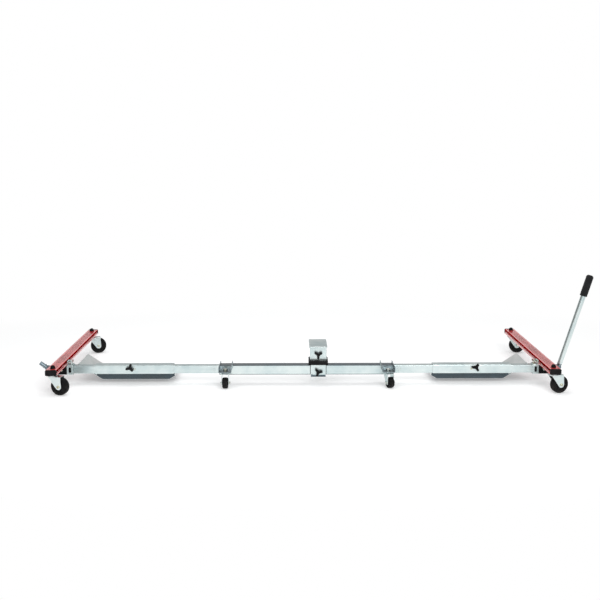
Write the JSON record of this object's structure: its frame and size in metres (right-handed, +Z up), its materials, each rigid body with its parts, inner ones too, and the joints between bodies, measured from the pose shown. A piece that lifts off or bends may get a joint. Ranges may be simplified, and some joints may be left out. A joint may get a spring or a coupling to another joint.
{
  "type": "motorcycle mover dolly",
  "caption": "Low telescoping steel rail dolly with ribbed red crossbars on swivel casters, wheel cradles, a height-adjustable support and a lever, for moving a parked motorcycle.",
  "frame": {"origin": "middle of the dolly's outline on the floor", "axes": "+X along the rail towards the lever end, +Y across towards the cradles, +Z up"},
  "size_m": [2.7244, 0.976, 0.582],
  "materials": {
    "zinc_steel": "zinc plated, satin",
    "red_aluminium": "red anodised",
    "black_plastic": "moulded",
    "wheel_rubber": "matt",
    "grip_foam": "soft, matt"
  },
  "bodies": {
    "chassis": {"centre_tube": "zinc_steel", "slide_pads": "black_plastic", "rear_mid_bracket": "zinc_steel", "front_mid_bracket": "zinc_steel", "mid_caster_nuts": "zinc_steel", "mid_rear_caster_head": "zinc_steel", "mid_front_caster_head": "zinc_steel"},
    "support": {"support_clamp": "zinc_steel", "support_collar": "black_plastic"},
    "post": {"support_post": "zinc_steel", "support_platform": "zinc_steel"},
    "clamp_screw": {"clamp_knob": "black_plastic"},
    "post_screw": {"post_knob": "black_plastic"},
    "lever": {"lever_tube": "zinc_steel", "lever_grip": "grip_foam"},
    "rear_slider": {"rear_end_tube": "zinc_steel"},
    "rear_bar": {"rear_crossbar": "red_aluminium", "rear_end_caps": "black_plastic", "rear_nut_caps": "black_plastic", "rear_stirrup": "zinc_steel", "rear_socket": "black_plastic", "rear_stub_bracket": "zinc_steel", "near_rear_caster_head": "zinc_steel", "far_rear_caster_head": "zinc_steel"},
    "rear_wing": {"rear_wing_screw": "zinc_steel"},
    "rear_swing": {"rear_stub": "zinc_steel"},
    "rear_trough": {"rear_cradle": "zinc_steel"},
    "rear_trough_screw": {"rear_cradle_knob": "black_plastic"},
    "front_slider": {"front_end_tube": "zinc_steel"},
    "front_bar": {"front_crossbar": "red_aluminium", "front_end_caps": "black_plastic", "front_nut_caps": "black_plastic", "front_stirrup": "zinc_steel", "front_socket": "black_plastic", "front_stub_bracket": "zinc_steel", "near_front_caster_head": "zinc_steel", "far_front_caster_head": "zinc_steel"},
    "front_wing": {"front_wing_screw": "zinc_steel"},
    "front_swing": {"front_stub": "zinc_steel"},
    "front_trough": {"front_cradle": "zinc_steel"},
    "front_trough_screw": {"front_cradle_knob": "black_plastic"},
    "near_rear_fork": {"near_rear_caster_fork": "zinc_steel", "near_rear_caster_axle": "zinc_steel"},
    "near_rear_wheel": {"near_rear_caster_wheel": "wheel_rubber"},
    "near_front_fork": {"near_front_caster_fork": "zinc_steel", "near_front_caster_axle": "zinc_steel"},
    "near_front_wheel": {"near_front_caster_wheel": "wheel_rubber"},
    "far_rear_fork": {"far_rear_caster_fork": "zinc_steel", "far_rear_caster_axle": "zinc_steel"},
    "far_rear_wheel": {"far_rear_caster_wheel": "wheel_rubber"},
    "far_front_fork": {"far_front_caster_fork": "zinc_steel", "far_front_caster_axle": "zinc_steel"},
    "far_front_wheel": {"far_front_caster_wheel": "wheel_rubber"},
    "mid_rear_fork": {"mid_rear_caster_fork": "zinc_steel", "mid_rear_caster_axle": "zinc_steel"},
    "mid_rear_wheel": {"mid_rear_caster_wheel": "wheel_rubber"},
    "mid_front_fork": {"mid_front_caster_fork": "zinc_steel", "mid_front_caster_axle": "zinc_steel"},
    "mid_front_wheel": {"mid_front_caster_wheel": "wheel_rubber"}
  },
  "joints": [
    {"name": "rear_tube_slide", "type": "slide", "parent": "chassis", "child": "rear_slider", "axis": [-1, 0, 0], "range_m": [-0.115, 0.06]},
    {"name": "rear_bar_slide", "type": "slide", "parent": "rear_slider", "child": "rear_bar", "axis": [-1, 0, 0], "range_m": [0, 0.06]},
    {"name": "rear_wing_turn", "type": "hinge", "parent": "rear_bar", "child": "rear_wing", "pos_m": [-1.23435, -0.255, 0.106], "axis": [0, 0, 1], "continuous": true},
    {"name": "rear_stub_swing", "type": "hinge", "parent": "rear_bar", "child": "rear_swing", "pos_m": [-1.32235, -0.39, 0.121], "axis": [0, -1, 0], "range_deg": [-52, 28]},
    {"name": "rear_cradle_slide", "type": "slide", "parent": "rear_slider", "child": "rear_trough", "axis": [-1, 0, 0], "range_m": [-0.07, 0.015]},
    {"name": "rear_cradle_knob_turn", "type": "hinge", "parent": "rear_trough", "child": "rear_trough_screw", "pos_m": [-0.93335, -0.2795, 0.0925], "axis": [0, -1, 0], "continuous": true},
    {"name": "front_tube_slide", "type": "slide", "parent": "chassis", "child": "front_slider", "axis": [1, 0, 0], "range_m": [-0.115, 0.06]},
    {"name": "front_bar_slide", "type": "slide", "parent": "front_slider", "child": "front_bar", "axis": [1, 0, 0], "range_m": [0, 0.06]},
    {"name": "front_wing_turn", "type": "hinge", "parent": "front_bar", "child": "front_wing", "pos_m": [1.12565, -0.255, 0.106], "axis": [0, 0, 1], "continuous": true},
    {"name": "front_stub_swing", "type": "hinge", "parent": "front_bar", "child": "front_swing", "pos_m": [1.21365, -0.39, 0.121], "axis": [0, 1, 0], "range_deg": [-16, 64]},
    {"name": "front_cradle_slide", "type": "slide", "parent": "front_slider", "child": "front_trough", "axis": [1, 0, 0], "range_m": [-0.07, 0.015]},
    {"name": "front_cradle_knob_turn", "type": "hinge", "parent": "front_trough", "child": "front_trough_screw", "pos_m": [0.82465, -0.2795, 0.0925], "axis": [0, -1, 0], "continuous": true},
    {"name": "lever_pull", "type": "slide", "parent": "front_swing", "child": "lever", "axis": [0.2807, 0, 0.9598], "range_m": [0, 0.06]},
    {"name": "support_slide", "type": "slide", "parent": "chassis", "child": "support", "axis": [1, 0, 0], "range_m": [-0.28, 0.24]},
    {"name": "post_lift", "type": "slide", "parent": "support", "child": "post", "axis": [0, 0, 1], "range_m": [0, 0.025]},
    {"name": "clamp_knob_turn", "type": "hinge", "parent": "support", "child": "clamp_screw", "pos_m": [0.02165, -0.2845, 0.07], "axis": [0, -1, 0], "continuous": true},
    {"name": "post_knob_turn", "type": "hinge", "parent": "post", "child": "post_screw", "pos_m": [0.02165, -0.279, 0.1598], "axis": [0, -1, 0], "continuous": true},
    {"name": "near_rear_swivel", "type": "hinge", "parent": "rear_bar", "child": "near_rear_fork", "pos_m": [-1.28135, -0.445, 0.104], "axis": [0, 0, 1], "continuous": true},
    {"name": "near_rear_spin", "type": "hinge", "parent": "near_rear_fork", "child": "near_rear_wheel", "pos_m": [-1.24657, -0.45432, 0.0445], "axis": [0.2588, 0.9659, 0], "continuous": true},
    {"name": "near_front_swivel", "type": "hinge", "parent": "front_bar", "child": "near_front_fork", "pos_m": [1.17265, -0.445, 0.104], "axis": [0, 0, 1], "continuous": true},
    {"name": "near_front_spin", "type": "hinge", "parent": "near_front_fork", "child": "near_front_wheel", "pos_m": [1.20689, -0.43388, 0.0445], "axis": [-0.309, 0.9511, 0], "continuous": true},
    {"name": "far_rear_swivel", "type": "hinge", "parent": "rear_bar", "child": "far_rear_fork", "pos_m": [-1.28135, 0.445, 0.104], "axis": [0, 0, 1], "continuous": true},
    {"name": "far_rear_spin", "type": "hinge", "parent": "far_rear_fork", "child": "far_rear_wheel", "pos_m": [-1.24613, 0.45249, 0.0445], "axis": [-0.2079, 0.9781, 0], "continuous": true},
    {"name": "far_front_swivel", "type": "hinge", "parent": "front_bar", "child": "far_front_fork", "pos_m": [1.17265, 0.445, 0.104], "axis": [0, 0, 1], "continuous": true},
    {"name": "far_front_spin", "type": "hinge", "parent": "far_front_fork", "child": "far_front_wheel", "pos_m": [1.2083, 0.43999, 0.0445], "axis": [0.1392, 0.9903, 0], "continuous": true},
    {"name": "mid_rear_swivel", "type": "hinge", "parent": "chassis", "child": "mid_rear_fork", "pos_m": [-0.44735, -0.321, 0.084], "axis": [0, 0, 1], "continuous": true},
    {"name": "mid_rear_spin", "type": "hinge", "parent": "mid_rear_fork", "child": "mid_rear_wheel", "pos_m": [-0.44735, -0.341, 0.028], "axis": [1, 0, 0], "continuous": true},
    {"name": "mid_front_swivel", "type": "hinge", "parent": "chassis", "child": "mid_front_fork", "pos_m": [0.37265, -0.321, 0.084], "axis": [0, 0, 1], "continuous": true},
    {"name": "mid_front_spin", "type": "hinge", "parent": "mid_front_fork", "child": "mid_front_wheel", "pos_m": [0.38111, -0.33913, 0.028], "axis": [0.9063, 0.4226, 0], "continuous": true}
  ]
}
